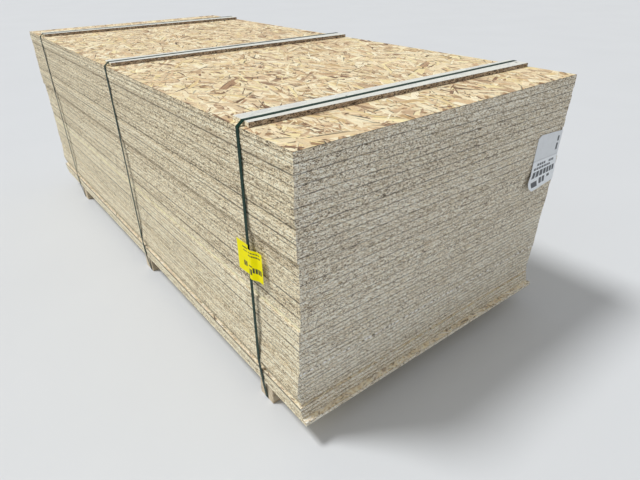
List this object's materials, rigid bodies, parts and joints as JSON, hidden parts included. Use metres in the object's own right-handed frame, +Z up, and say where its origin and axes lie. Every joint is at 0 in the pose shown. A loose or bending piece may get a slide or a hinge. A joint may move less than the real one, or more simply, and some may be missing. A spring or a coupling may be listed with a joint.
{
  "type": "stack of osb panels",
  "caption": "Strapped stack of oriented strand board sheets lying flat on timber bearers, with battens under the straps across the top, a hanging tag and a paper label.",
  "frame": {"origin": "on the floor under the middle of the stack, on the middle bearer's underside", "axes": "+X along the sheets' length, +Y across the stack, +Z up"},
  "size_m": [2.857, 1.2853, 1.0236],
  "materials": {
    "osb_sheet": "pressed wood strands, sawn edges",
    "bearer": "sawn softwood",
    "osb_batten": "pressed wood strands, weathered",
    "strap": "dark green, glossy",
    "tag": "yellow, matt",
    "label": "white, matt"
  },
  "bodies": {
    "root": {"osb_sheets_1": "osb_sheet", "osb_sheets_2": "osb_sheet", "osb_sheets_3": "osb_sheet", "osb_sheets_4": "osb_sheet", "osb_sheets_5": "osb_sheet", "osb_sheets_6": "osb_sheet", "osb_sheets_7": "osb_sheet", "osb_sheets_8": "osb_sheet", "osb_sheets_9": "osb_sheet", "bearer_front": "bearer", "bearer_middle": "bearer", "bearer_far": "bearer", "batten_front": "osb_batten", "batten_middle": "osb_batten", "batten_far": "osb_batten", "strap_front": "strap", "strap_middle": "strap", "strap_far": "strap", "tag": "tag", "label": "label"}
  },
  "joints": []
}
